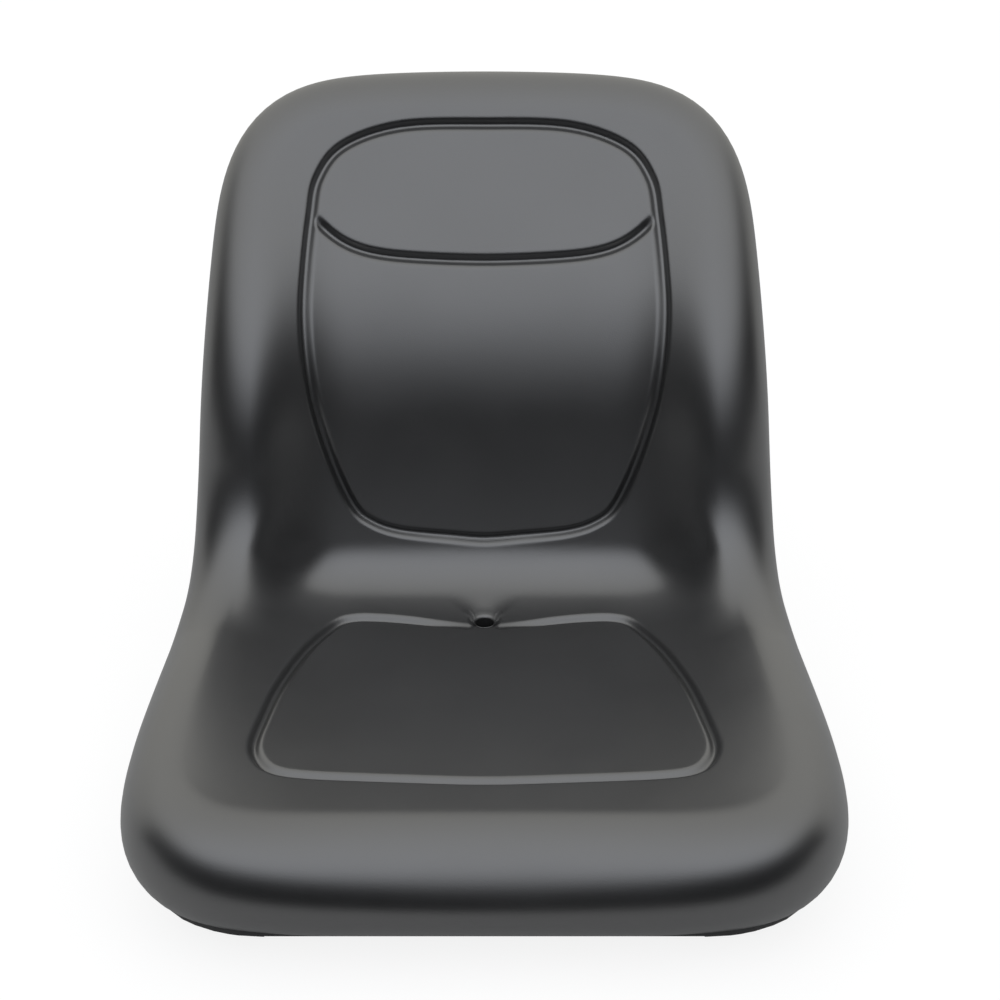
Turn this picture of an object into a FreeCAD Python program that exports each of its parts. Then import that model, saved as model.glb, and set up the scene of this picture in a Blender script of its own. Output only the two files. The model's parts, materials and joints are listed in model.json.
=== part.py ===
import FreeCAD
import Part
import math
import os

# Ride on mower seat: a one-piece moulded foam cushion, seat and back together, on a stamped steel pan.
# Millimetres, +Z up. The origin is the centre of the mounting holes, on the pan's lower face.
# The front edge faces -Y. Places on the sitting surface are given by x, across, and by the run,
# which is the distance along the middle line from the front crown, over the seat and up the back.

# Middle line of the sitting surface: seat, fold, lumbar, bend and upper back
front_crown_y = -180.0
front_crown_z = 100.0
seat_rake = -4.0
seat_length = 286.0
fold_radius = 55.0
lumbar_lean = 8.0
lumbar_length = 85.5
bend_length = 122.0
top_lean = 30.0
upper_length = 117.5

# Half widths over the edge roll, from the front to the top
front_half_width = 245.5
seat_half_width = 241.5
hip_half_width = 223.0
lumbar_half_width = 214.5
upper_half_width = 208.0
top_half_width = 210.0

# Heights of the side bolsters over the middle line
front_bolster = 5.0
seat_bolster = 16.5
hip_bolster = 54.0
lumbar_bolster = 37.5
upper_bolster = 20.0
top_bolster = 0.0
bolster_start = 0.48
wing_spread = 130.0

# Edge roll: how far it stands out from the crown, and how far it reaches down to the rim
front_roll = 41.5
hip_roll = 41.5
top_roll = 35.5
front_edge_depth = 80.0
hip_edge_depth = 82.5
top_edge_depth = 62.5
roll_angle = 150.0

# Rounded corners of the outline, across and along the run
front_corner_width = 103.0
front_corner_length = 107.0
top_corner_width = 121.0
top_corner_length = 144.0

# Moulded grooves: their section, and their lines on one half as places (x, distance along the run)
groove_depth = 3.6
groove_floor = 5.4
groove_width = 12.6
seat_groove_from_drain = [(11.5, -5.4), (51.4, 4.0), (84.0, 8.7), (101.0, 7.1), (110.0, -3.0), (131.1, -61.7)]
seat_groove_from_front = [(143.7, 172.5), (150.8, 122.9), (154.2, 87.4), (149.7, 66.2), (138.5, 53.0),
                          (114.7, 47.6), (56.1, 42.9), (0.0, 40.0)]
back_groove_from_top = [(0.0, -12.6), (63.4, -14.8), (105.3, -29.5), (123.7, -53.7)]
back_groove_from_fold = [(132.3, 198.4), (133.3, 165.8), (123.8, 92.6), (112.2, 49.9), (99.6, 20.6),
                         (64.3, 0.4), (0.0, -5.5)]
head_groove_from_top = [(128.0, -82.6), (100.3, -105.1), (48.0, -114.4), (0.0, -116.0)]

# Drain hole through the cushion and the pan
drain_radius = 7.0
pan_drain_radius = 9.0

# Foam under the middle of the back, and where the flat floor ends
back_foam = 70.0
floor_end_run = 297.0

# Stamped pan
sheet = 1.5
pan_gap = 0.5
pan_lip = 4.5
flange_width = 40.0
rim_land = 9.0

# Mounting holes, their embossed pads, weld nuts and the room for the bolt ends
hole_spacing_x = 285.75
hole_spacing_y = 203.2
hole_radius = 4.25
pad_size = 40.0
pad_depth = 3.0
nut_across_flats = 13.0
nut_height = 6.5
nut_bore_radius = 4.0
bolt_room = 22.0
bolt_room_height = 22.0
overcut = 1.0

# How finely the sections are taken
nose_turns = [79.0, 64.0, 47.0]
rim_turns = [20.0, 10.0]
roll_steps = 12
dish_steps = 6
corner_strips = 4
seat_strips = 6
wing_strips = 5
fold_strips = 6
lumbar_strips = 4
bend_strips = 6
upper_strips = 6
groove_step = 14.0


def smooth(low, high, value):
    share = min(1.0, max(0.0, (value - low) / (high - low)))
    return share * share * (3.0 - 2.0 * share)


def flow(run, stations, values):
    # A smooth line through values at stations, level beyond the first and the last
    run = min(stations[-1], max(stations[0], run))
    last = len(stations) - 1
    slopes = [0.0] * (last + 1)
    for i in range(1, last):
        slopes[i] = (values[i + 1] - values[i - 1]) / (stations[i + 1] - stations[i - 1])
    i = 0
    while i < last - 1 and run > stations[i + 1]:
        i += 1
    step = stations[i + 1] - stations[i]
    t = (run - stations[i]) / step
    near = values[i] * (1 + 2 * t) * (1 - t) ** 2 + slopes[i] * step * t * (1 - t) ** 2
    far = values[i + 1] * t * t * (3 - 2 * t) + slopes[i + 1] * step * t * t * (t - 1)
    return near + far


def walk(start, heading, pieces, run):
    # The point reached along straight pieces (turn 0) and arcs, each given as (length, turn in degrees)
    y, z = start
    angle = math.radians(heading)
    last = len(pieces) - 1
    for i, (length, turn) in enumerate(pieces):
        ahead = run if i == last else min(run, length)
        if i > 0:
            ahead = max(0.0, ahead)
        if turn == 0:
            y += ahead * math.cos(angle)
            z += ahead * math.sin(angle)
        else:
            radius = length / math.radians(turn)
            y += radius * (math.sin(angle + ahead / radius) - math.sin(angle))
            z += radius * (math.cos(angle) - math.cos(angle + ahead / radius))
            angle += math.radians(turn)
        run -= length
    return y, z


# Stations along the run
lumbar_heading = 90.0 - lumbar_lean
top_heading = 90.0 - top_lean
fold_turn = lumbar_heading - seat_rake
bend_turn = top_heading - lumbar_heading
fold_length = fold_radius * math.radians(fold_turn)
fold_end = seat_length + fold_length
fold_middle = seat_length + fold_length / 2
bend_start = fold_end + lumbar_length
bend_end = bend_start + bend_length
top_run = bend_end + upper_length
stations = [0.0, seat_length / 2, fold_middle, bend_start, bend_end, top_run]
ends = [0.0, fold_middle, top_run]
drain_run = seat_length - fold_radius * math.radians(seat_rake)
middle_pieces = [
    (seat_length, 0.0),
    (fold_length, fold_turn),
    (lumbar_length, 0.0),
    (bend_length, bend_turn),
    (upper_length, 0.0),
]


def middle_line(run):
    return walk((front_crown_y, front_crown_z), seat_rake, middle_pieces, run)


def rise(run):
    # Direction in which the bolsters stand up from the middle line
    angle = 90.0 + seat_rake
    angle += fold_turn * smooth(fold_middle - wing_spread, fold_middle + wing_spread, run)
    angle += bend_turn * smooth(bend_start, bend_end, run)
    return math.cos(math.radians(angle)), math.sin(math.radians(angle))


def bolster(run):
    heights = [front_bolster, seat_bolster, hip_bolster, lumbar_bolster, upper_bolster, top_bolster]
    return flow(run, stations, heights)


def roll(run):
    return flow(run, ends, [front_roll, hip_roll, top_roll])


def edge_depth(run):
    return flow(run, ends, [front_edge_depth, hip_edge_depth, top_edge_depth])


def outline(run, inset):
    # Half width of the outline, set in all round, rounded off towards the front and the top
    widths = [front_half_width, seat_half_width, hip_half_width]
    widths += [lumbar_half_width, upper_half_width, top_half_width]
    half = flow(run, stations, widths) - inset
    from_front = (run + front_roll - inset) / (front_corner_length - inset)
    from_top = (top_run + top_roll - inset - run) / (top_corner_length - inset)
    for share, width in ((from_front, front_corner_width), (from_top, top_corner_width)):
        near = 1 - min(1.0, max(0.0, share))
        half -= (width - inset) * (1 - math.sqrt(1 - near ** 2))
    return half


def crown_half(run):
    return outline(run, 0.0) - roll(run)


def end_turn(run):
    # How far round the roll a run beyond the front or the top crown lies, in radians
    return math.asin(max(0.0, -run / front_roll, (run - top_run) / top_roll))


def crown_height(run):
    # Height of the crown over the middle line: it falls away round the front and the top
    return bolster(run) - edge_depth(run) / edge_share * (1 - math.cos(end_turn(run)))


def section_depth(run):
    # Depth of the section below its crown, down to the rim or to the underside of the roll
    reach = edge_depth(run) / edge_share
    turn = end_turn(run)
    if turn > math.pi - math.radians(roll_angle):
        return 2 * reach * math.cos(turn)
    return edge_depth(run) - reach * (1 - math.cos(turn))


def place(x, height, run):
    # A point of the section at a run: x across, height along the rise
    y, z = middle_line(run)
    rise_y, rise_z = rise(run)
    return FreeCAD.Vector(x, y + height * rise_y, z + height * rise_z)


def rim(run):
    # Where the roll ends on the pan, as x and height
    inset = roll(run) * (1 - math.sin(math.radians(roll_angle)))
    return outline(run, inset), crown_height(run) - section_depth(run)


def floor_height(run):
    # Height of the foam's underside in the middle: the flat floor, then the foam of the back
    floor_run = min(run, floor_end_run)
    flat = (middle_line(floor_run)[1] - floor_z) / rise(floor_run)[1]
    middle = -flat + (flat - back_foam) * smooth(floor_end_run, bend_start, run)
    lift = max(smooth(front_rim + flange_width, front_rim, run), smooth(top_rim - flange_width, top_rim, run))
    return middle + (rim(run)[1] - middle) * lift


def upper_half(run):
    # Half section over the foam, from the foot of the bolster to the rim, as x and height
    half = crown_half(run)
    low = crown_height(run) - bolster(run)
    points = []
    for i in range(dish_steps + 1):
        share = bolster_start + (1 - bolster_start) * i / dish_steps
        points.append((half * share, low + bolster(run) * smooth(bolster_start, 1.0, share)))
    reach = section_depth(run) / edge_share
    rim_x = rim(run)[0]
    rim_out = math.sin(math.radians(roll_angle))
    for i in range(1, roll_steps + 1):
        turn = math.radians(roll_angle) * i / roll_steps
        x = half + roll(run) * math.sin(turn)
        if turn > math.pi / 2:
            back = (1 - math.sin(turn)) / (1 - rim_out)
            x = half + roll(run) + (rim_x - half - roll(run)) * back
        points.append((x, crown_height(run) - reach * (1 - math.cos(turn))))
    return points


def under_half(run):
    # Half section under the foam: the foot of the flange, its top and the rim, as x and height
    rim_x, rim_height = rim(run)
    return [(rim_x - flange_width, floor_height(run)), (rim_x - rim_land, rim_height), (rim_x, rim_height)]


def set_down(points, depth):
    # The same line, lower by a depth square to it
    turned = [(0.0, -1.0)]
    for a, b in zip(points, points[1:]):
        length = math.hypot(b[0] - a[0], b[1] - a[1])
        turned.append(((b[1] - a[1]) / length, (a[0] - b[0]) / length))
    turned.append(turned[-1])
    moved = []
    for point, before, after in zip(points, turned, turned[1:]):
        share = depth / (1 + before[0] * after[0] + before[1] * after[1])
        moved.append((point[0] + share * (before[0] + after[0]), point[1] + share * (before[1] + after[1])))
    return moved


def mirror(points):
    return [(-x, height) for x, height in points]


def bent(points, run):
    return Part.makePolygon([place(x, height, run) for x, height in points])


def steps(low, high, count):
    return [low + (high - low) * i / count for i in range(count)]


def front_run(turn):
    return -front_roll * math.sin(math.radians(turn))


def back_run(turn):
    return top_run + top_roll * math.sin(math.radians(turn))


edge_share = 1 - math.cos(math.radians(roll_angle))
floor_z = pad_depth + sheet + pan_gap
front_rim = front_run(roll_angle)
top_rim = back_run(roll_angle)

# Runs of the sections between the front and the top crown
corner_end = front_corner_length - front_roll
wing_start = fold_middle - wing_spread
body_runs = steps(0.0, corner_end, corner_strips) + steps(corner_end, wing_start, seat_strips)
body_runs += steps(wing_start, seat_length, wing_strips) + steps(seat_length, fold_end, fold_strips)
body_runs += steps(fold_end, bend_start, lumbar_strips) + steps(bend_start, bend_end, bend_strips)
body_runs += steps(bend_end, top_run, upper_strips) + [top_run]


def foam_section(run):
    upper = upper_half(run)
    under = under_half(run)
    over = mirror(upper)[::-1] + upper
    return bent(over + under[::-1][1:] + mirror(under)[:-1] + over[:1], run)


def make_cushion():
    turns = nose_turns + [180.0 - roll_angle] + rim_turns
    runs = [front_run(turn) for turn in turns] + body_runs + [back_run(turn) for turn in turns[::-1]]
    return Part.makeLoft([foam_section(run) for run in runs], True, True)


def sitting_point(x, run):
    # A point of the sitting surface before the grooves are cut
    share = abs(x) / crown_half(run)
    return place(x, crown_height(run) - bolster(run) * (1 - smooth(bolster_start, 1.0, share)), run)


def along(half, start):
    # Places of a groove, with their distances measured from a run
    return [(x, start + distance) for x, distance in half]


def groove_cutter(points, closed):
    # A strip of the groove's section along a smooth line through places on the sitting surface
    course = Part.BSplineCurve()
    course.interpolate(Points=[FreeCAD.Vector(x, run, 0) for x, run in points], PeriodicFlag=closed)
    flare = (groove_width - groove_floor) / 2 / groove_depth
    sections = []
    for spot in course.discretize(Number=int(course.length() / groove_step) + 1):
        ahead = course.tangent(course.parameter(spot))[0]
        here = sitting_point(spot.x, spot.y)
        forward = sitting_point(spot.x + ahead.x, spot.y + ahead.y) - here
        beside = sitting_point(spot.x - ahead.y, spot.y + ahead.x) - here
        normal = forward.cross(beside).normalize()
        side = normal.cross(forward).normalize()
        low = side * (groove_floor / 2)
        high = side * (groove_width / 2 + flare * overcut)
        floor = here - normal * groove_depth
        top = here + normal * overcut
        sections.append(Part.makePolygon([floor - low, floor + low, top + high, top - high, floor - low]))
    if closed:
        sections[-1] = sections[0]
    return Part.makeLoft(sections, True, True)


def pan_section(run, hem):
    # A strip of sheet with its lips turned down; a hem fills it down to the lips
    upper = set_down(under_half(run), pan_gap)
    lower = set_down(under_half(run), pan_gap + sheet)
    rim_x, top = upper[-1]
    inner = rim_x - sheet
    foot = top - pan_lip
    root = top - sheet
    if hem:
        root = foot + sheet / 4
        lower = [(x, root) for x, height in lower]
    lower[-1] = (inner, root)
    right = upper + [(rim_x, foot), (inner, foot)] + lower[::-1]
    left = mirror(right[::-1])
    return bent(right + left + right[:1], run)


def make_pan():
    sections = [pan_section(front_rim, True), pan_section(front_rim + sheet, True)]
    runs = [front_rim + 2 * sheet] + [front_run(turn) for turn in rim_turns] + body_runs
    runs += [back_run(turn) for turn in rim_turns[::-1]] + [top_rim - 2 * sheet]
    sections += [pan_section(run, False) for run in runs]
    sections += [pan_section(top_rim - sheet, True), pan_section(top_rim, True)]
    return Part.makeLoft(sections, True, True)


def block(size, low, high, x, y):
    return Part.makeBox(size, size, high - low, FreeCAD.Vector(x - size / 2, y - size / 2, low))


def upright(radius, low, high, x, y):
    return Part.makeCylinder(radius, high - low, FreeCAD.Vector(x, y, low))


drain_y = middle_line(drain_run)[0]
hole_places = []
for side in (-1, 1):
    for end in (-1, 1):
        hole_places.append((side * hole_spacing_x / 2, end * hole_spacing_y / 2))

# Foam cushion with its grooves, its drain hole and the pockets over the weld nuts
cushion = make_cushion()
seat_half = along(seat_groove_from_drain, drain_run) + along(seat_groove_from_front, 0.0)
back_half = along(back_groove_from_top, top_run) + along(back_groove_from_fold, fold_end)
head_half = along(head_groove_from_top, top_run)
cushion = cushion.cut(groove_cutter(seat_half + mirror(seat_half[-2::-1]), False))
cushion = cushion.cut(groove_cutter(back_half + mirror(back_half[-2:0:-1]), True))
cushion = cushion.cut(groove_cutter(head_half + mirror(head_half[-2::-1]), False))
room = [block(bolt_room, 0.0, floor_z + bolt_room_height, x, y) for x, y in hole_places]
room.append(upright(drain_radius, 0.0, front_crown_z, 0.0, drain_y))
cushion = cushion.cut(room)

# Pan with embossed pads, mounting holes and drain hole
pan_top = floor_z - pan_gap
pan = make_pan()
pan = pan.fuse([block(pad_size, 0.0, pan_top - sheet / 2, x, y) for x, y in hole_places])
recess = [block(pad_size - 2 * sheet, sheet, pan_top + overcut, x, y) for x, y in hole_places]
recess += [upright(hole_radius, -overcut, pan_top, x, y) for x, y in hole_places]
recess.append(upright(pan_drain_radius, 0.0, floor_z, 0.0, drain_y))
pan = pan.cut(recess)

# Weld nuts on the pads
nuts = []
for x, y in hole_places:
    corners = []
    for i in range(7):
        angle = math.radians(60 * i)
        reach = nut_across_flats / 2 / math.cos(math.radians(30))
        corners.append(FreeCAD.Vector(x + reach * math.cos(angle), y + reach * math.sin(angle), sheet))
    blank = Part.Face(Part.makePolygon(corners)).extrude(FreeCAD.Vector(0, 0, nut_height))
    nuts.append(blank.cut(upright(nut_bore_radius, 0.0, sheet + nut_height + overcut, x, y)))
weld_nuts = Part.makeCompound(nuts)

os.makedirs("parts", exist_ok=True)
for name, shape in (("cushion", cushion), ("seat_pan", pan), ("weld_nuts", weld_nuts)):
    shape.exportStep("parts/" + name + ".step")
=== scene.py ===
import json
import math

import bmesh
import bpy
import numpy as np
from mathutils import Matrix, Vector

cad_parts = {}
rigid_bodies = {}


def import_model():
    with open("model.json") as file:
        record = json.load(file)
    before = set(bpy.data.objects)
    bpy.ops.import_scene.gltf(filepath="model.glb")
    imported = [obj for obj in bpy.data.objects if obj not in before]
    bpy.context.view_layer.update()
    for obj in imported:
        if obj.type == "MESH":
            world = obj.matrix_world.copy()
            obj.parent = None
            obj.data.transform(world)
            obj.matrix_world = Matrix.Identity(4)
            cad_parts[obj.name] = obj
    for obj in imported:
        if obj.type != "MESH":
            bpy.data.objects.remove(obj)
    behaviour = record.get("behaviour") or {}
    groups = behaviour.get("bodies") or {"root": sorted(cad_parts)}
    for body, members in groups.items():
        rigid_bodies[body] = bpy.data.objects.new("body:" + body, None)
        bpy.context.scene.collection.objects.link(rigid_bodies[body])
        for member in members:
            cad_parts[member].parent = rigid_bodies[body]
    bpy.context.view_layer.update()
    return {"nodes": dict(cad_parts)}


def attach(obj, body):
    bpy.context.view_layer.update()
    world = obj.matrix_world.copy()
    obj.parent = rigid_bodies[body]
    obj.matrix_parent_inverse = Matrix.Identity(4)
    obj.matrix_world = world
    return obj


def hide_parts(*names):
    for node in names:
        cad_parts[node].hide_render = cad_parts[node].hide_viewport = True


for leftover in list(bpy.data.objects):  # the start-up file's own cube, lamp and camera
    bpy.data.objects.remove(leftover)

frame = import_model()
nodes = frame["nodes"]
mm = 0.001
print("frame loaded:", sorted(nodes))


# shader maths on sockets

class Val:
    def __init__(self, net, socket):
        self.net = net
        self.socket = socket

    def __add__(self, other):
        return self.net.math("ADD", self, other)

    def __radd__(self, other):
        return self.net.math("ADD", other, self)

    def __sub__(self, other):
        return self.net.math("SUBTRACT", self, other)

    def __rsub__(self, other):
        return self.net.math("SUBTRACT", other, self)

    def __mul__(self, other):
        return self.net.math("MULTIPLY", self, other)

    def __rmul__(self, other):
        return self.net.math("MULTIPLY", other, self)

    def clip(self):
        return self.net.math("ADD", self, 0.0, clamp=True)


class Net:
    def __init__(self, tree):
        self.tree = tree
        tree.nodes.clear()

    def node(self, kind, settings=None, sockets=None):  # sockets by name or by number
        made = self.tree.nodes.new(kind)
        for name, value in (settings or {}).items():
            setattr(made, name, value)
        for key, value in (sockets or {}).items():
            self.feed(made.inputs[key], value)
        return made

    def feed(self, socket, value):
        if isinstance(value, Val):
            self.tree.links.new(value.socket, socket)
        elif isinstance(value, bpy.types.NodeSocket):
            self.tree.links.new(value, socket)
        else:
            socket.default_value = value

    def value(self, kind, output, settings=None, sockets=None):
        return Val(self, self.node(kind, settings, sockets).outputs[output])

    def math(self, operation, *terms, clamp=False):
        settings = {"operation": operation, "use_clamp": clamp}
        return self.value("ShaderNodeMath", 0, settings, dict(enumerate(terms)))

    def mixColour(self, factor, low, high):
        return self.value("ShaderNodeMix", 2, {"data_type": "RGBA"}, {0: factor, 6: low, 7: high})

    def smoothRange(self, value, low, high, toLow=0.0, toHigh=1.0):
        return self.value("ShaderNodeMapRange", "Result", {"interpolation_type": "SMOOTHSTEP"},
                          {"Value": value, "From Min": low, "From Max": high,
                           "To Min": toLow, "To Max": toHigh})

    def place(self):
        return self.value("ShaderNodeTexCoord", "Object")

    def noise(self, place, size, detail=2.0, rough=0.5):
        return self.value("ShaderNodeTexNoise", "Fac", {"noise_dimensions": "3D"},
                          {"Vector": place, "Scale": 1 / size, "Detail": detail, "Roughness": rough})

    def bump(self, height, strength, depth):
        return self.value("ShaderNodeBump", "Normal", None,
                          {"Height": height, "Strength": strength, "Distance": depth})

    def surface(self, sockets):
        skin = self.node("ShaderNodeBsdfPrincipled", None, sockets)
        self.node("ShaderNodeOutputMaterial", None, {"Surface": skin.outputs[0]})


def newMaterial(name):
    material = bpy.data.materials.new(name)
    material.use_nodes = True
    return material, Net(material.node_tree)


# the seat's form: places on it are x, across, and run, along the middle line from the front crown, in mm

form = {
    "frontY": -180.0, "frontZ": 100.0, "seatRake": -4.0, "seatLength": 286.0,
    "foldRadius": 55.0, "lumbarLean": 8.0, "lumbarLength": 85.5,
    "bendLength": 122.0, "topLean": 30.0, "upperLength": 109.0,
    "halfWidths": [245.5, 241.5, 223.0, 214.5, 208.0, 210.0],  # front, seat, hip, lumbar, upper, top
    "bolsters": [5.0, 16.5, 54.0, 37.5, 20.0, 6.0],
    "bolsterStart": 0.48, "wingSpread": 130.0,
    "rolls": [41.5, 41.5, 35.5],  # front, hip, top
    "edgeDepths": [80.0, 82.5, 62.5],
    "rollAngle": 150.0, "frontCorner": 10.0, "topCorner": 6.8, "frontBow": 1.0, "topBow": 8.5,
    "floorZ": 5.0, "floorEndRun": 297.0, "backFoam": 70.0, "flangeWidth": 40.0, "clearOfPan": 1.2,
    "drainY": 109.1, "drainRadius": 7.0, "drainFoot": 8.0,
    "drainBetween": (200.0, 330.0),  # the runs it is looked for between
}
skinForm = {  # where the skin differs from the plain form
    "footTurn": 22.0, "footRadius": 110.0, "creaseRadius": 46.0,  # the fold is softer at its foot
    "hipRadius": 120.0, "hipRuns": (262.0, 410.0), "hipLean": 1.3,  # and wide at the hips
    "hipFoot": (134.0, 106.0), "hipHead": (194.0, 166.0),  # x of the inner wall, on the seat and on the back
    "bolsters": [5.0, 16.5, 31.0, 37.5, 20.0, 6.0], "bolsterLean": 1.5,
    "noseDrop": 5.0, "noseBow": 11.0, "noseHalf": 175.0, "noseLift": 6.0,
    "noseRuns": (20.0, 90.0), "noseSides": (170.0, 202.0),  # the front edge bellies down in the middle
}


def smooth(low, high, value):
    share = np.clip((value - low) / (high - low), 0, 1)
    return share * share * (3 - 2 * share)


def flow(run, stations, values):  # a smooth line through values, level beyond the ends
    stations = np.asarray(stations, float)
    values = np.asarray(values, float)
    slopes = np.zeros(len(stations))
    slopes[1:-1] = (values[2:] - values[:-2]) / (stations[2:] - stations[:-2])
    run = np.clip(run, stations[0], stations[-1])
    k = np.clip(np.searchsorted(stations, run, side="right") - 1, 0, len(stations) - 2)
    step = stations[k + 1] - stations[k]
    t = (run - stations[k]) / step
    near = values[k] * (1 + 2 * t) * (1 - t) ** 2 + slopes[k] * step * t * (1 - t) ** 2
    far = values[k + 1] * t * t * (3 - 2 * t) + slopes[k + 1] * step * t * t * (t - 1)
    return near + far


lumbarHeading = 90 - form["lumbarLean"]
topHeading = 90 - form["topLean"]
foldTurn = lumbarHeading - form["seatRake"]
bendTurn = topHeading - lumbarHeading
foldLength = form["foldRadius"] * math.radians(foldTurn)
foldEnd = form["seatLength"] + foldLength
foldMiddle = form["seatLength"] + foldLength / 2
bendStart = foldEnd + form["lumbarLength"]
bendEnd = bendStart + form["bendLength"]
topRun = bendEnd + form["upperLength"]
stations = [0, form["seatLength"] / 2, foldMiddle, bendStart, bendEnd, topRun]
ends = [0, foldMiddle, topRun]
edgeShare = 1 - math.cos(math.radians(form["rollAngle"]))


# the middle line in pieces (run, turn, radius), with two arcs in the fold, between the same straight lines
def foldPieces(footTurn, first, second):
    foot, whole = math.radians(footTurn), math.radians(foldTurn)
    ahead = first * math.sin(foot) + second * (math.sin(whole) - math.sin(foot))
    up = first * (1 - math.cos(foot)) + second * (math.cos(foot) - math.cos(whole))
    after = up / math.sin(whole)
    before = ahead - after * math.cos(whole)
    plain = form["foldRadius"] * math.tan(whole / 2)
    arcs = [first * foot, second * (whole - foot)]
    share = (foldLength + before + after - 2 * plain) / sum(arcs)
    bendRadius = form["bendLength"] / math.radians(bendTurn)
    return [(form["seatLength"] + plain - before, 0, 0), (arcs[0] * share, footTurn, first),
            (arcs[1] * share, foldTurn - footTurn, second), (form["lumbarLength"] + plain - after, 0, 0),
            (form["bendLength"], bendTurn, bendRadius), (form["upperLength"], 0, 0)]


plainPieces = foldPieces(foldTurn / 2, form["foldRadius"], form["foldRadius"])
middlePieces = foldPieces(skinForm["footTurn"], skinForm["footRadius"], skinForm["creaseRadius"])
hipPieces = foldPieces(foldTurn / 2, skinForm["hipRadius"], skinForm["hipRadius"])


def follow(pieces, run):  # the first and last pieces go on straight past the ends
    y = np.full(np.shape(run), form["frontY"])
    z = np.full(np.shape(run), form["frontZ"])
    angle = math.radians(form["seatRake"])
    start = 0.0
    for i, (length, turn, radius) in enumerate(pieces):
        low = -math.inf if i == 0 else 0.0
        high = math.inf if i == len(pieces) - 1 else length
        ahead = np.clip(run - start, low, high)
        if turn == 0:
            y = y + ahead * math.cos(angle)
            z = z + ahead * math.sin(angle)
        else:
            bent = math.radians(turn) * ahead / length
            y = y + radius * (np.sin(angle + bent) - math.sin(angle))
            z = z + radius * (math.cos(angle) - np.cos(angle + bent))
            angle += math.radians(turn)
        start += length
    return np.stack([0 * y, y, z], -1)


def rise(run):  # y and z of the direction that heights are set off along
    spread = form["wingSpread"]
    angle = 90 + form["seatRake"] + foldTurn * smooth(foldMiddle - spread, foldMiddle + spread, run)
    angle = np.radians(angle + bendTurn * smooth(bendStart, bendEnd, run))
    return np.cos(angle), np.sin(angle)


def rollAt(run):
    return flow(run, ends, form["rolls"])


def crownHalf(run):
    return flow(run, stations, form["halfWidths"]) - rollAt(run)


def raised(x, height, run):
    riseY, riseZ = rise(run)
    return np.stack([x + 0 * run, height * riseY, height * riseZ], -1)


def inFrame(x, height, run):  # x across, height along the rise, over the plain middle line at a run
    return follow(plainPieces, run) + raised(x, height, run)


def bolsterShare(x, run):
    share = np.clip(np.abs(x) / crownHalf(run), 0, 1)
    return np.clip((share - form["bolsterStart"]) / (1 - form["bolsterStart"]), 0, 1)


def plainPoint(x, run):
    return inFrame(x, flow(run, stations, form["bolsters"]) * smooth(0, 1, bolsterShare(x, run)), run)


def sittingPoint(x, run):  # the middle's fold gives way to the hips' wider one over the bolsters' inner wall
    climb = smooth(0, 1, bolsterShare(x, run) ** skinForm["bolsterLean"])
    height = flow(run, stations, skinForm["bolsters"]) * climb
    upBack = smooth(*skinForm["hipRuns"], run)
    foot, head = [low + (high - low) * upBack for low, high in (skinForm["hipFoot"], skinForm["hipHead"])]
    head = np.minimum(head, crownHalf(run))
    hip = smooth(0, 1, np.clip((np.abs(x) - foot) / (head - foot), 0, 1) ** skinForm["hipLean"])[..., None]
    return follow(middlePieces, run) * (1 - hip) + follow(hipPieces, run) * hip + raised(x, height, run)


def crown(angle):  # 0 is the middle of the front, pi the middle of the top
    across, along = np.sin(angle), np.cos(angle)
    power = np.where(along > 0, form["frontCorner"], form["topCorner"])
    size = (np.abs(across) ** power + np.abs(along) ** power) ** (-1 / power)
    bow = np.where(along > 0, form["frontBow"], form["topBow"])
    run = topRun / 2 * (1 - along * size) + bow * (1 - (across * size) ** 2)
    return across * size * crownHalf(run), run


def outward(angle):
    step = 1e-3
    x0, run0 = crown(angle - step)
    x1, run1 = crown(angle + step)
    length = np.hypot(x1 - x0, run1 - run0)
    return (run1 - run0) / length, -(x1 - x0) / length


def noseBelly(x, run):
    belly = skinForm["noseDrop"] - skinForm["noseBow"] * (x / skinForm["noseHalf"]) ** 2
    belly = np.maximum(belly, -skinForm["noseLift"])
    return belly * (1 - smooth(*skinForm["noseRuns"], run)) * (1 - smooth(*skinForm["noseSides"], np.abs(x)))


def rollPoint(angle, turn):
    x, run = crown(angle)
    outX, outRun = outward(angle)
    riseY, riseZ = rise(run)
    out = np.stack([outX, outRun * riseZ, -outRun * riseY], -1) * rollAt(run)[..., None]
    reach = flow(run, ends, form["edgeDepths"]) / edgeShare
    up = np.stack([0 * run, riseY, riseZ], -1) * reach[..., None]
    top = plainPoint(x, run)
    shift = sittingPoint(x, run) - top
    top = top + shift * (1 - smooth(0, form["rollAngle"], turn))[..., None]  # the rim stays on the plain form
    top[..., 2] -= noseBelly(x, run) * np.sin(np.pi * turn / form["rollAngle"]) ** 2
    turn = np.radians(turn)[..., None]
    return top - up * (1 - np.cos(turn)) + out * np.sin(turn)


def rimPlace(angle):
    x, run = crown(angle)
    outX, outRun = outward(angle)
    inset = rollAt(run) * math.sin(math.radians(form["rollAngle"]))
    return x + outX * inset, run + outRun * inset


def floorHeight(run):  # the foam's underside in the middle, a little over the pan
    flatRun = np.minimum(run, form["floorEndRun"])
    flat = (follow(plainPieces, flatRun)[..., 2] - form["floorZ"]) / rise(flatRun)[1]
    middle = -flat + (flat - form["backFoam"]) * smooth(form["floorEndRun"], bendStart, run)
    return middle + form["clearOfPan"]


testRuns = np.linspace(*form["drainBetween"], 261)
drainRun = float(np.interp(form["drainY"], follow(middlePieces, testRuns)[:, 1], testRuns))
drainFootRun = float(np.interp(form["drainY"], inFrame(0, floorHeight(testRuns), testRuns)[:, 1], testRuns))


def towards(angle, share, radius, middleRun, edge):  # from the drain, share 0, to an edge line, share 1
    x0 = radius * np.sin(angle)
    run0 = middleRun - radius * np.cos(angle)
    x1, run1 = edge(angle)
    return x0 + (x1 - x0) * share, run0 + (run1 - run0) * share


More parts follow.
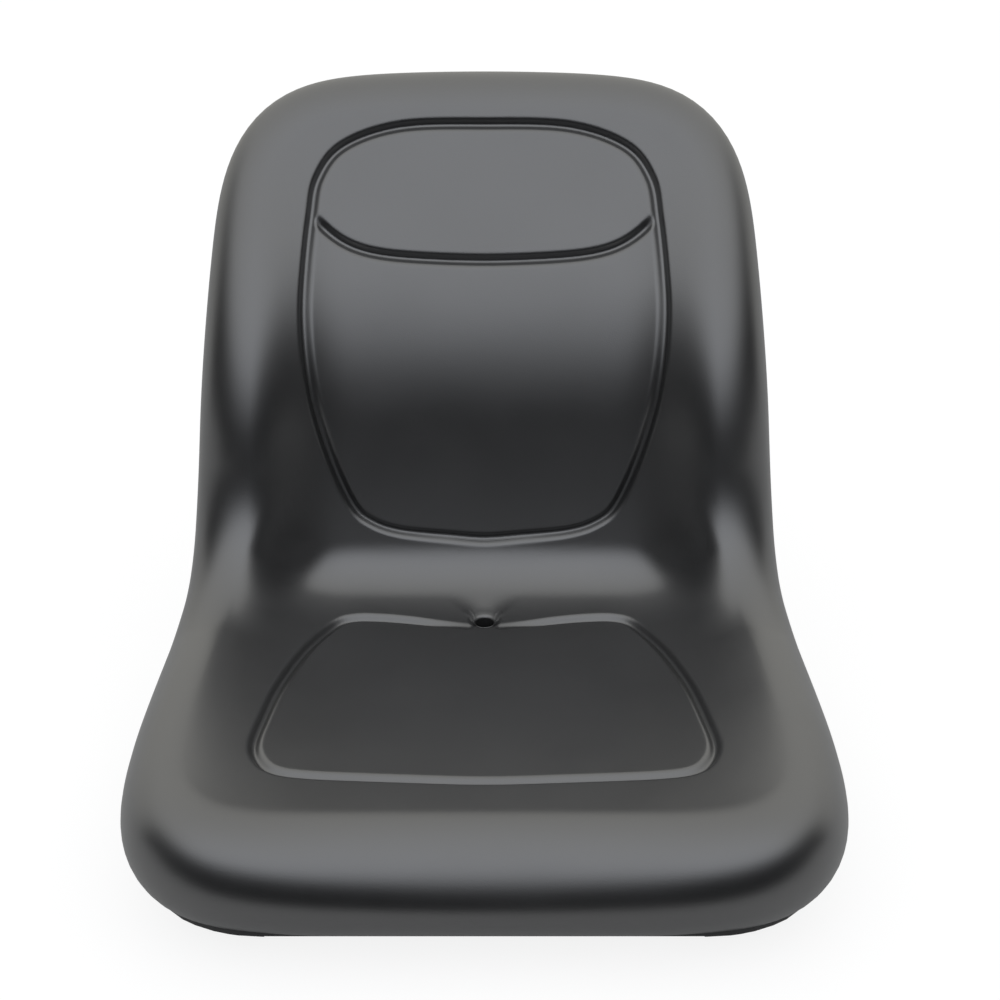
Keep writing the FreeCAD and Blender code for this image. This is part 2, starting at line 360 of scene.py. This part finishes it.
def undersidePoint(angle, share):  # from the rim, share 0, to the drain's foot, share 1
    x, run = towards(angle, 1 - share, form["drainFoot"], drainFootRun, rimPlace)
    rimX, rimRun = rimPlace(angle)
    away = np.hypot(rimX - x, rimRun - run)
    lift = 1 - smooth(0, form["flangeWidth"], away)
    rim = rollPoint(angle, form["rollAngle"] + 0 * angle)
    under = inFrame(x, floorHeight(run), run)
    return under + (rim - inFrame(rimX, floorHeight(rimRun), rimRun)) * lift[..., None]


def drainFootPoint(angle):
    radius = form["drainFoot"]
    z = np.full(np.shape(angle), form["floorZ"] + form["clearOfPan"])
    return np.stack([radius * np.sin(angle), form["drainY"] - radius * np.cos(angle), z], -1)


# moulded grooves, on one half of the seat, as (x, run) from the middle outwards and back

grooves = {
    "depth": 4.2, "floorHalf": 0.3, "edgeHalf": 7.0, "flare": 1.9,
    "seatTip": 45.0, "headrestTip": 14.0, "tipShare": 0.35,  # shallower at the free ends
    "back": [(0, 681), (63.4, 678.8), (105.3, 664.1), (123.7, 639.9), (128.8, 609.5), (132.3, 567),
             (133.3, 534.4), (130.6, 498.8), (123.8, 461.2), (112.2, 418.5), (99.6, 389.2), (85.9, 376.6),
             (64.3, 369), (24.8, 364.9), (0, 363.1)],
    "headrest": [(0, 577.6), (48, 579.2), (79.5, 582.4), (100.3, 588.5), (115.9, 598.4), (128.0, 611.0)],
    "seat": [(11.9, 279), (33.4, 283), (56.3, 288), (78.6, 291), (97.0, 291.0), (109, 284.5), (119.5, 264),
             (131.1, 228.2), (143.7, 172.5), (150.8, 122.9), (154.2, 87.4), (149.7, 66.2), (138.5, 53),
             (114.7, 47.6), (56.1, 42.9), (0, 40)],
    "dimple": (8.6, 13.5), "dimpleDepth": 2.8,  # radii round the drain
    "wedge": 3.2, "wedgeLength": 32.0, "wedgeHalf": 9.0, "wedgeFlare": 0.9,  # a slope behind the drain
}


def beyond(end, inner):  # the next point past an end: past the middle line it is the mirror image
    return np.array([-inner[0], inner[1]]) if end[0] == 0 else 2 * end - inner


def curveThrough(points, spacing=2.5):  # a smooth line through points, in short straight pieces
    points = np.array(points, float)
    ghost = np.vstack([beyond(points[0], points[1]), points, beyond(points[-1], points[-2])])
    out = []
    for i in range(1, len(ghost) - 2):
        a, b, c, d = ghost[i - 1:i + 3]
        count = max(2, int(np.hypot(*(c - b)) / spacing))
        t = np.arange(count)[:, None] / count
        out.append(0.5 * (2 * b + (c - a) * t + (2 * a - 5 * b + 4 * c - d) * t ** 2
                          + (3 * b - a - 3 * c + d) * t ** 3))
    return np.vstack(out + [points[-1:]])


def distanceTo(line, x, run):  # distance from places to a line, and how far along it the nearest point is
    best = np.full(len(x), np.inf)
    reach = np.zeros(len(x))
    gone = 0.0
    for a, b in zip(line[:-1], line[1:]):
        along = b - a
        length = np.hypot(*along)
        share = np.clip(((x - a[0]) * along[0] + (run - a[1]) * along[1]) / length ** 2, 0, 1)
        away = np.hypot(x - a[0] - along[0] * share, run - a[1] - along[1] * share)
        nearer = away < best
        best = np.where(nearer, away, best)
        reach = np.where(nearer, gone + length * share, reach)
        gone += length
    return best, reach


grooveLines = {name: curveThrough(grooves[name]) for name in ("back", "headrest", "seat")}


def grooveDistance(x, run):
    return np.min([distanceTo(line, x, run)[0] for line in grooveLines.values()], axis=0)


def tipTaper(name, reach):  # the seat's groove starts at a free end, the headrest's ends at one
    if name == "back":
        return 1.0
    if name == "headrest":
        reach = np.hypot(*np.diff(grooveLines[name], axis=0).T).sum() - reach
    return grooves["tipShare"] + (1 - grooves["tipShare"]) * smooth(0, grooves[name + "Tip"], reach)


def sunk(x, run):  # how far the skin is pressed in by the grooves, the drain's dimple and the slope behind it
    depth = np.zeros(len(x))
    for name, line in grooveLines.items():
        away, reach = distanceTo(line, x, run)
        wall = (1 - smooth(grooves["floorHalf"], grooves["edgeHalf"], away)) ** grooves["flare"]
        depth = np.maximum(depth, grooves["depth"] * tipTaper(name, reach) * wall)
    dip = grooves["dimpleDepth"] * (1 - smooth(*grooves["dimple"], np.hypot(x, run - drainRun)))
    behind = run - drainRun
    half = grooves["wedgeHalf"] + grooves["wedgeFlare"] * np.maximum(behind, 0)
    wedge = (1 - smooth(0, 1, np.abs(x) / half)) * (1 - smooth(0, grooves["wedgeLength"], behind))
    wedge = np.where(behind > 0, grooves["wedge"] * wedge, 0)
    return np.maximum(np.maximum(depth, dip), wedge)


# cushion: one half is laid out in angle and ring, refined along the grooves, set in place and mirrored

cushionMesh = {
    "angles": 170, "surfaceRows": 72, "rollRows": 22, "underRows": 26, "wallRows": 7,
    "bands": (12.0, 9.5),  # the grid is halved within each of these distances of a groove
    "pressedTo": 1.2, "seatPlace": (0.4, 0.5),  # a ring, and the angle and ring of a place that faces up
    "ringSlack": 0.001, "middleSlack": 1e-4, "mirrorWeld": 1e-5, "weld": 2e-5,
    "fill": 0.9,
}


def crownAngles(count):  # even steps along the crown
    fine = np.linspace(0, math.pi, 4001)
    x, run = crown(fine)
    reach = np.concatenate([[0], np.cumsum(np.hypot(np.diff(x), np.diff(run)))])
    return np.interp(np.linspace(0, reach[-1], count + 1), reach, fine)


def surfacePlace(angle, ring):
    return towards(angle, np.clip(ring, 0, 1), form["drainRadius"], drainRun, crown)


def cushionPoint(angle, ring):  # ring -1 to 0 drain wall, to 1 sitting face, to 2 edge roll, to 3 underside
    slack = cushionMesh["ringSlack"]
    x, run = surfacePlace(angle, ring)
    point = sittingPoint(x, run)
    turn = form["rollAngle"] * np.clip(ring - 1, 0, 1)
    point = np.where((ring > 1)[:, None], rollPoint(angle, turn), point)
    point = np.where((ring > 2)[:, None], undersidePoint(angle, np.clip(ring - 2, 0, 1)), point)
    foot = drainFootPoint(angle)
    lip = sittingPoint(form["drainRadius"] * np.sin(angle), drainRun - form["drainRadius"] * np.cos(angle))
    lip[:, 2] -= grooves["dimpleDepth"] * (ring < -slack)
    wall = lip + (foot - lip) * np.clip(-ring, 0, 1)[:, None]
    point = np.where((ring < 0)[:, None], wall, point)
    return np.where((ring > 3 - slack)[:, None], foot, point), x, run


def layCushion():  # a grid of angles and rings, finer along the grooves
    part = cushionMesh
    angles = crownAngles(part["angles"])
    rows = np.concatenate([
        np.linspace(-1, 0, part["wallRows"] + 1)[:-1] ** 3,  # closer together towards the lip
        np.linspace(0, 1, part["surfaceRows"] + 1)[:-1],
        np.linspace(1, 2, part["rollRows"] + 1)[:-1],
        np.linspace(2, 3, part["underRows"] + 1),
    ])
    bm = bmesh.new()
    grid = [[bm.verts.new((angle, ring, 0)) for angle in angles] for ring in rows]
    for low, high in zip(grid[:-1], grid[1:]):
        for i in range(len(angles) - 1):
            bm.faces.new((low[i], low[i + 1], high[i + 1], high[i]))
    for band in part["bands"]:
        faces = list(bm.faces)
        angle, ring = np.array([face.calc_center_median().xy for face in faces]).T
        near = (grooveDistance(*surfacePlace(angle, ring)) < band) & (ring > 0) & (ring < 1)
        edges = dict.fromkeys(edge for face, picked in zip(faces, near) if picked for edge in face.edges)
        bmesh.ops.subdivide_edges(bm, edges=list(edges), cuts=1, use_grid_fill=True)
    return bm


def makeCushion():
    part = cushionMesh
    bm = layCushion()
    angle, ring = np.array([vert.co.xy for vert in bm.verts]).T
    point, x, run = cushionPoint(angle, ring)
    onMiddle = np.abs(point[:, 0]) < part["middleSlack"]
    point[onMiddle, 0] = 0
    for vert, co in zip(bm.verts, point * mm):
        vert.co = co
    bm.normal_update()
    pressed = (ring > -part["ringSlack"]) & (ring < part["pressedTo"])
    depth = np.where(pressed, sunk(x, run), 0.0) * mm
    normals = np.array([vert.normal for vert in bm.verts])
    seatAngle, seatRing = part["seatPlace"]
    if normals[np.argmin(np.abs(ring - seatRing) + np.abs(angle - seatAngle)), 2] < 0:
        bmesh.ops.reverse_faces(bm, faces=bm.faces[:])
        normals = -normals
    normals[onMiddle, 0] = 0  # on the middle line the skin sinks straight in
    for vert, normal, sink in zip(bm.verts, normals, depth):
        vert.co -= Vector(normal) * sink
    halfSkin = bm.verts[:] + bm.edges[:] + bm.faces[:]
    bmesh.ops.mirror(bm, geom=halfSkin, axis="X", merge_dist=part["mirrorWeld"])
    bmesh.ops.remove_doubles(bm, verts=bm.verts[:], dist=part["weld"])
    bmesh.ops.recalc_face_normals(bm, faces=bm.faces[:])
    mesh = bpy.data.meshes.new("cushionSkin")
    bm.to_mesh(mesh)
    bm.free()
    for face in mesh.polygons:
        face.use_smooth = True
    skin = bpy.data.objects.new("cushion_skin", mesh)
    bpy.context.scene.collection.objects.link(skin)
    return skin


vinylLook = {
    "colour": (0.0085, 0.0086, 0.009, 1), "pale": (0.012, 0.012, 0.0124, 1),
    "paleCloud": 0.7, "palePebble": 0.3,
    "roughness": 0.35, "cloudRough": 0.08, "fineRough": 0.1, "specular": 1.0, "ior": 1.7,
    "grain": 0.0009, "jumble": 0.9, "fineGrain": 0.6, "cloud": 0.06, "detail": 3.0,
    "pebbleHeight": 0.7, "fineHeight": 0.5, "bump": 0.35, "bumpDepth": 0.00012,
}


def vinylMaterial():
    look = vinylLook
    material, net = newMaterial("satin_vinyl")
    place = net.place()
    pebble = net.value("ShaderNodeTexVoronoi", "Distance", {"feature": "F1"},
                       {"Vector": place, "Scale": 1 / look["grain"], "Randomness": look["jumble"]})
    fine = net.noise(place, look["grain"] * look["fineGrain"], look["detail"])
    cloud = net.noise(place, look["cloud"], look["detail"])
    height = pebble * look["pebbleHeight"] + fine * look["fineHeight"]
    rough = look["roughness"] + (cloud - 0.5) * look["cloudRough"] + (fine - 0.5) * look["fineRough"]
    paleness = (cloud * look["paleCloud"] + pebble * look["palePebble"]).clip()
    net.surface({"Base Color": net.mixColour(paleness, look["colour"], look["pale"]), "Roughness": rough,
                 "Specular IOR Level": look["specular"], "IOR": look["ior"],
                 "Normal": net.bump(height, look["bump"], look["bumpDepth"])})
    return material


cushion = makeCushion()
cushion.data.materials.append(vinylMaterial())
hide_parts("cushion")
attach(cushion, "root")
print("cushion skin:", len(cushion.data.vertices), "points,", len(cushion.data.polygons), "faces")


# painted pan and plated nuts

panLook = {
    "colour": (0.012, 0.012, 0.0125, 1), "worn": (0.03, 0.03, 0.031, 1), "wornFrom": 0.35,
    "roughness": 0.38, "cloudRough": 0.14, "cloud": 0.05, "cloudDetail": 4.0, "cloudHarsh": 0.6,
    "peel": 0.0016, "bump": 0.12, "bumpDepth": 0.0002,
}
nutLook = {
    "bright": (0.62, 0.63, 0.66, 1), "dull": (0.42, 0.42, 0.42, 1), "roughness": 0.34, "spangleRough": 0.12,
    "spangle": 0.003, "detail": 3.0, "bump": 0.1, "bumpDepth": 0.0002,
}


def paintMaterial():
    look = panLook
    material, net = newMaterial("satin_black_paint")
    place = net.place()
    peel = net.noise(place, look["peel"])
    cloud = net.noise(place, look["cloud"], look["cloudDetail"], look["cloudHarsh"])
    colour = net.mixColour((cloud - look["wornFrom"]).clip(), look["colour"], look["worn"])
    net.surface({"Base Color": colour, "Roughness": look["roughness"] + (cloud - 0.5) * look["cloudRough"],
                 "Normal": net.bump(peel, look["bump"], look["bumpDepth"])})
    return material


def zincMaterial():
    look = nutLook
    material, net = newMaterial("zinc_plate")
    spangle = net.noise(net.place(), look["spangle"], look["detail"])
    colour = net.mixColour(spangle, look["bright"], look["dull"])
    net.surface({"Base Color": colour, "Metallic": 1.0,
                 "Roughness": look["roughness"] + spangle * look["spangleRough"],
                 "Normal": net.bump(spangle, look["bump"], look["bumpDepth"])})
    return material


def dress(node, material):
    node.data.materials.clear()
    node.data.materials.append(material)


dress(nodes["seat_pan"], paintMaterial())
dress(nodes["weld_nuts"], zincMaterial())
print("pan and nuts dressed")


# floor, light and camera

white = (1, 1, 1, 1)
stageLook = {
    "front": -300.0, "back": 3000.0, "half": 2500.0,
    "pale": (0.5, 0.5, 0.5, 1), "shadow": (0.16, 0.16, 0.16, 1), "seenWhite": 0.86, "mirrored": 0.2,
}
skyLook = {
    "horizon": 0.02, "overhead": 1.22, "frontShare": 0.36, "low": 0.03, "high": 0.5, "sideLift": 0.28,
    "behind": (0.1, 0.5), "backdrop": 0.75, "cool": (0.94, 0.97, 1.03, 1), "warm": (1.03, 1.02, 0.96, 1),
}
view = {
    "aim": (0.0, 52.0, 190.0), "distance": 1617.0, "elevation": 26.2,
    "lens": 82.04, "sensor": 36.0, "shift": (0.0155, 0.0229),
}


def background(net):  # 1 for rays that show the white background as it is, and 1 for mirrored rays
    path = net.node("ShaderNodeLightPath")
    camera, through, mirrored = [
        Val(net, path.outputs[name]) for name in ("Is Camera Ray", "Is Transmission Ray", "Is Glossy Ray")]
    return camera + through, mirrored


def makeFloor():  # a pale table top that ends a little in front of the seat
    look = stageLook
    bm = bmesh.new()
    corners = [(-look["half"], look["front"]), (look["half"], look["front"]),
               (look["half"], look["back"]), (-look["half"], look["back"])]
    bm.faces.new([bm.verts.new((x * mm, y * mm, 0)) for x, y in corners])
    mesh = bpy.data.meshes.new("floor")
    bm.to_mesh(mesh)
    bm.free()
    floor = bpy.data.objects.new("floor", mesh)
    bpy.context.scene.collection.objects.link(floor)
    material, net = newMaterial("pale_floor")
    seen, mirrored = background(net)
    shade = net.node("ShaderNodeBsdfDiffuse", None, {"Color": look["pale"]})
    glow = net.node("ShaderNodeEmission", None, {"Color": white, "Strength": look["seenWhite"]})
    lit = net.node("ShaderNodeBsdfDiffuse", None, {"Color": look["shadow"]})
    both = net.node("ShaderNodeAddShader", None, {0: glow.outputs[0], 1: lit.outputs[0]})
    share = (seen + mirrored * look["mirrored"]).clip()
    mix = net.node("ShaderNodeMixShader", None, {0: share, 1: shade.outputs[0], 2: both.outputs[0]})
    net.node("ShaderNodeOutputMaterial", None, {"Surface": mix.outputs[0]})
    mesh.materials.append(material)


def makeWorld():  # a wide soft light overhead, a white backdrop behind, a dark room in front
    look = skyLook
    world = bpy.data.worlds.new("studio")
    bpy.context.scene.world = world
    world.use_nodes = True
    net = Net(world.node_tree)
    direction = net.node("ShaderNodeTexCoord").outputs["Generated"]
    axes = net.node("ShaderNodeSeparateXYZ", None, {"Vector": direction})
    across, along, height = [Val(net, axes.outputs[name]) for name in "XYZ"]
    seen, mirrored = background(net)
    behind = net.smoothRange(along, *look["behind"])
    low = look["horizon"] + mirrored * behind * (look["backdrop"] - look["horizon"])
    overhead = look["overhead"] - look["frontShare"] * along
    level = height - look["sideLift"] * across * across
    lift = net.smoothRange(level, look["low"], look["high"], low, overhead)
    strength = seen + (1 - seen) * lift
    tint = net.mixColour((along * 0.5 + 0.5).clip(), look["cool"], look["warm"])  # 0 in front, 1 behind
    tint = net.mixColour(seen.clip(), tint, white)
    sky = net.node("ShaderNodeBackground", None, {"Color": tint, "Strength": strength})
    net.node("ShaderNodeOutputWorld", None, {"Surface": sky.outputs[0]})


def makeCamera():
    lens = bpy.data.cameras.new("camera")
    lens.lens = view["lens"]
    lens.sensor_width = view["sensor"]
    lens.shift_x, lens.shift_y = view["shift"]
    lens.dof.use_dof = False
    camera = bpy.data.objects.new("camera", lens)
    tilt = math.radians(view["elevation"])
    away = Vector((0, -math.cos(tilt), math.sin(tilt))) * view["distance"]
    camera.location = (Vector(view["aim"]) + away) * mm
    camera.rotation_euler = (math.pi / 2 - tilt, 0, 0)
    bpy.context.scene.collection.objects.link(camera)
    bpy.context.scene.camera = camera


makeFloor()
makeWorld()
makeCamera()
bpy.context.scene.view_settings.view_transform = "Standard"
print("stage, light and camera set")
